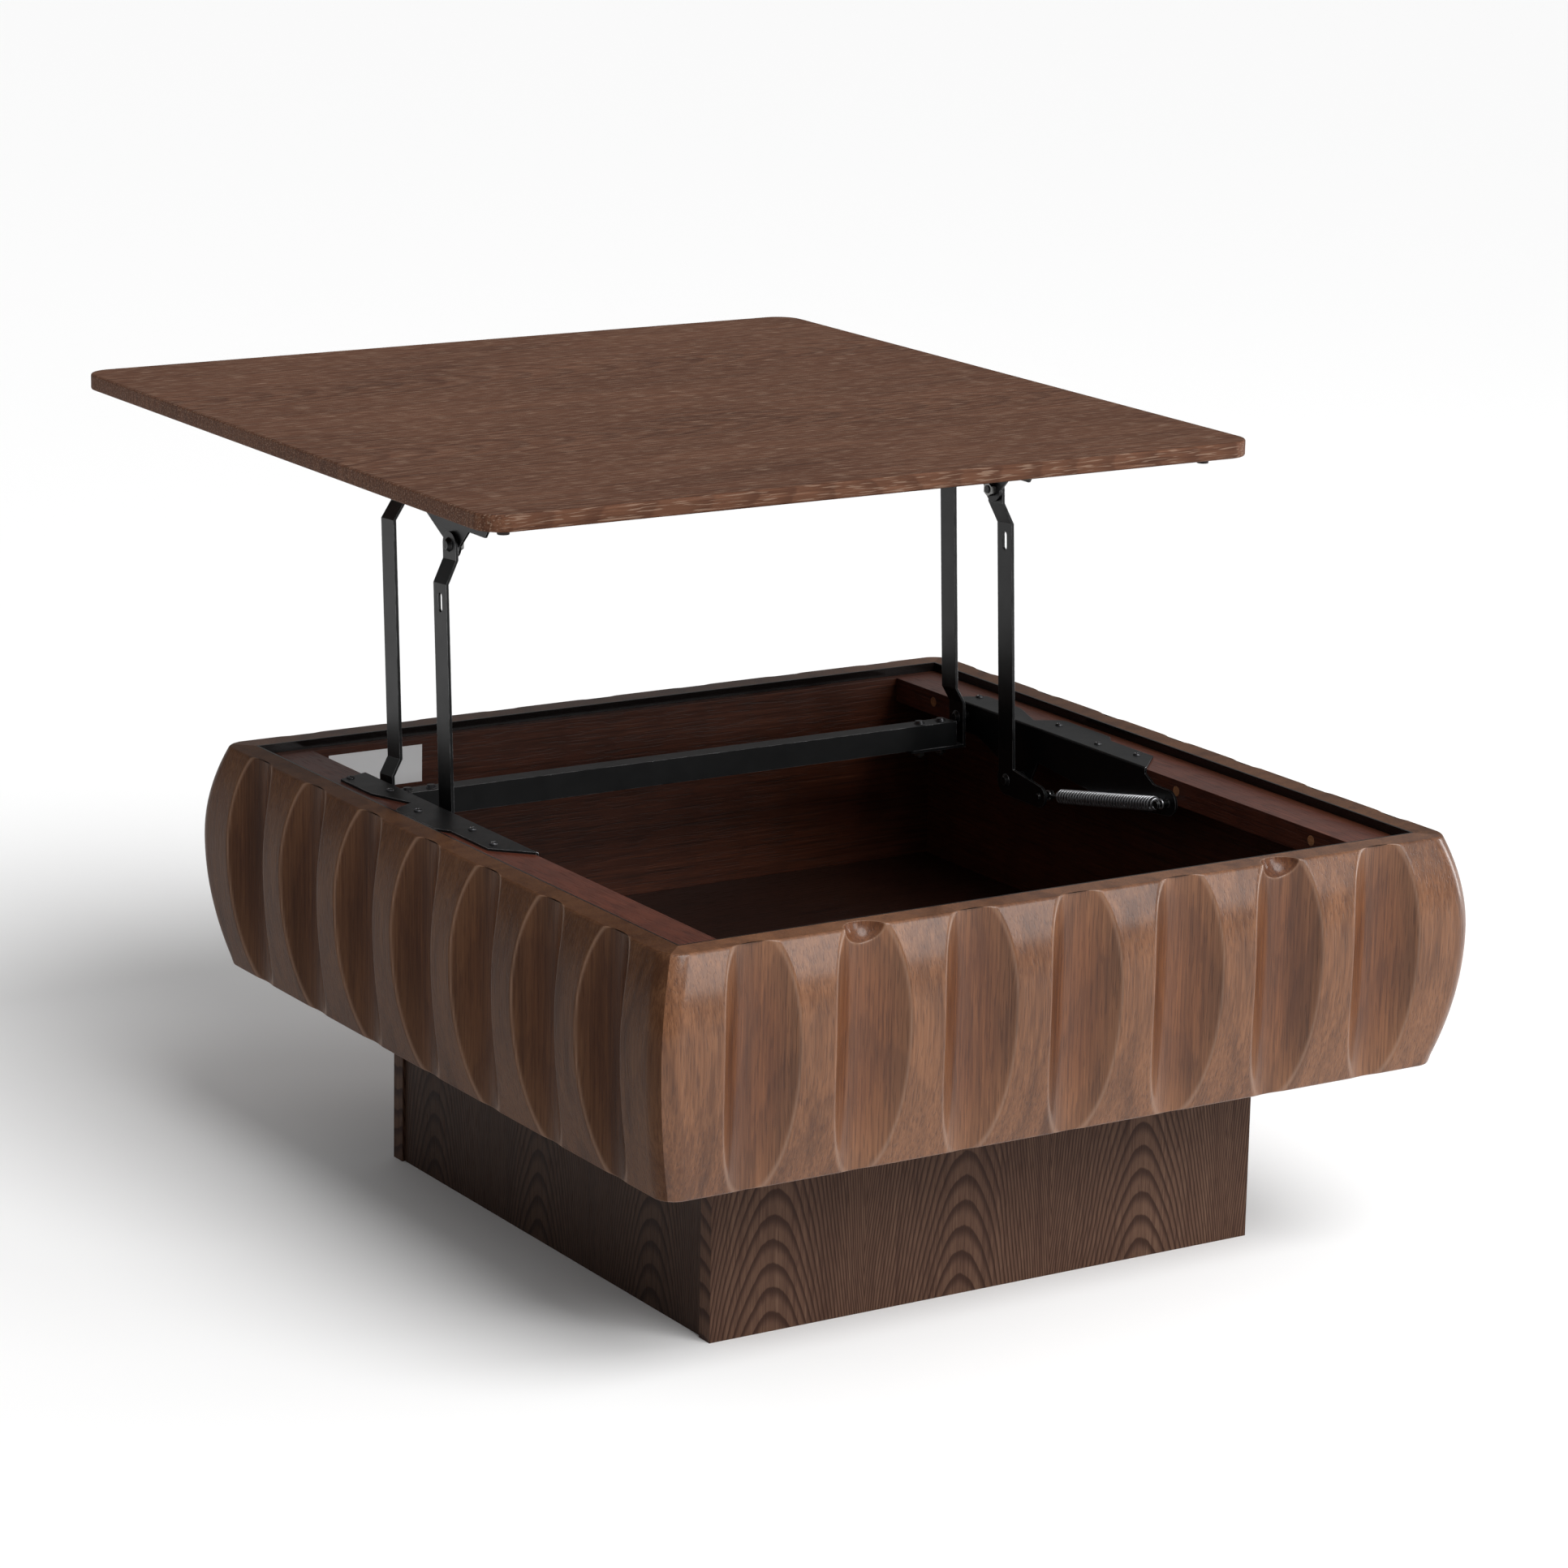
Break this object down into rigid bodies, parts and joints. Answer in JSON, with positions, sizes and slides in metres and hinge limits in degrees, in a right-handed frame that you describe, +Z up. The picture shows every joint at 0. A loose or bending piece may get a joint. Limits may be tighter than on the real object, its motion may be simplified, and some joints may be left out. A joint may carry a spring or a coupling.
{
  "type": "lift top coffee table",
  "caption": "Square coffee table with carved fluted box walls on a plinth; its top rises and moves sideways on sprung parallel arms over a storage well.",
  "frame": {"origin": "on the floor, in the middle of the area that the table covers with its top raised; the centre of the plinth is at y = -0.1466 m", "axes": "+Z up; -Y is the side with the finger scoops, towards which the top comes down; +X to the right when facing that side from the front"},
  "size_m": [0.9002, 1.1933, 0.7296],
  "materials": {
    "base_veneer": "dark brown straight and cathedral grained veneer, satin",
    "softwood": "bare sawn softwood",
    "zinc_screw": "zinc plated",
    "interior_veneer": "dark reddish brown stained veneer, satin",
    "carved_wood": "hand carved solid hardwood, brown stain, semi-gloss lacquer",
    "black_strip": "black gloss edging",
    "label_paper": "blank white label",
    "rail_wood": "reddish brown stained solid wood, satin",
    "plug_wood": "bare light wood plugs",
    "black_steel": "black powder coat, satin",
    "spring_steel": "blackened spring steel",
    "top_veneer": "brown open-pored veneer with pale flecks in the grain, satin",
    "rubber_bumper": "dark rubber"
  },
  "bodies": {
    "carcass": {"base_front_panel": "base_veneer", "base_back_panel": "base_veneer", "base_left_panel": "base_veneer", "base_right_panel": "base_veneer", "base_corner_blocks": "softwood", "base_cleats": "softwood", "base_cleat_screws": "zinc_screw", "box_floor_panel": "interior_veneer", "carved_front_panel": "carved_wood", "carved_back_panel": "carved_wood", "carved_left_panel": "carved_wood", "carved_right_panel": "carved_wood", "liner_front": "interior_veneer", "liner_back": "interior_veneer", "liner_left": "interior_veneer", "liner_right": "interior_veneer", "recess_strips": "black_strip", "blank_label": "label_paper", "rail_left": "rail_wood", "rail_right": "rail_wood", "rail_plugs_left": "plug_wood", "rail_plugs_right": "plug_wood", "bracket_left": "black_steel", "bracket_right": "black_steel", "bracket_screws_left": "zinc_screw", "bracket_screws_right": "zinc_screw", "pivot_studs_left": "black_steel", "pivot_studs_right": "black_steel", "anchor_pin_left": "black_steel", "anchor_pin_right": "black_steel"},
    "rear_arm_frame": {"rear_arm_left": "black_steel", "rear_arm_right": "black_steel", "cross_tube": "black_steel", "cross_tube_bolts": "zinc_screw", "cross_tube_nuts": "zinc_screw"},
    "top": {"top_panel": "top_veneer", "top_rail_left": "black_steel", "top_rail_right": "black_steel", "top_rail_screws": "zinc_screw", "top_bumpers": "rubber_bumper", "top_bolts_left": "black_steel", "top_bolts_right": "black_steel", "top_nuts_left": "zinc_screw", "top_nuts_right": "zinc_screw"},
    "front_arm_left": {"front_arm_left": "black_steel", "lever_pin_left": "black_steel"},
    "spring_left": {"spring_left": "spring_steel"},
    "spring_hook_left": {"spring_hook_left": "spring_steel"},
    "front_arm_right": {"front_arm_right": "black_steel", "lever_pin_right": "black_steel"},
    "spring_right": {"spring_right": "spring_steel"},
    "spring_hook_right": {"spring_hook_right": "spring_steel"}
  },
  "joints": [
    {"name": "lift", "type": "hinge", "parent": "carcass", "child": "rear_arm_frame", "pos_m": [0, 0.10836, 0.388], "axis": [1, 0, 0], "range_deg": [0, 94.4]},
    {"name": "top_pivot", "type": "hinge", "parent": "rear_arm_frame", "child": "top", "pos_m": [0, 0.12668, 0.68744], "axis": [1, 0, 0], "range_deg": [-94.4, 0]},
    {"name": "front_pivot_left", "type": "hinge", "parent": "carcass", "child": "front_arm_left", "pos_m": [-0.326, 0.00336, 0.345], "axis": [1, 0, 0], "range_deg": [0, 94.4]},
    {"name": "spring_swing_left", "type": "hinge", "parent": "carcass", "child": "spring_left", "pos_m": [-0.33275, -0.24264, 0.375], "axis": [1, 0, 0], "range_deg": [-8.69, 0]},
    {"name": "spring_stretch_left", "type": "slide", "parent": "spring_left", "child": "spring_hook_left", "axis": [0, 0.984, -0.1781], "range_m": [0, 0.07786], "deforming": ["spring_left", "spring_hook_left"]},
    {"name": "front_pivot_right", "type": "hinge", "parent": "carcass", "child": "front_arm_right", "pos_m": [0.326, 0.00336, 0.345], "axis": [1, 0, 0], "range_deg": [0, 94.4]},
    {"name": "spring_swing_right", "type": "hinge", "parent": "carcass", "child": "spring_right", "pos_m": [0.33275, -0.24264, 0.375], "axis": [1, 0, 0], "range_deg": [-8.69, 0]},
    {"name": "spring_stretch_right", "type": "slide", "parent": "spring_right", "child": "spring_hook_right", "axis": [0, 0.984, -0.1781], "range_m": [0, 0.07786], "deforming": ["spring_right", "spring_hook_right"]}
  ],
  "couplings": [
    {"joint": "top_pivot", "follows": "lift", "ratio": -1},
    {"joint": "front_pivot_left", "follows": "lift", "ratio": 1},
    {"joint": "spring_swing_left", "follows": "lift", "ratio": -0.092094},
    {"joint": "spring_stretch_left", "follows": "lift", "m_per_rad": 0.047256},
    {"joint": "front_pivot_right", "follows": "lift", "ratio": 1},
    {"joint": "spring_swing_right", "follows": "lift", "ratio": -0.092094},
    {"joint": "spring_stretch_right", "follows": "lift", "m_per_rad": 0.047256}
  ]
}
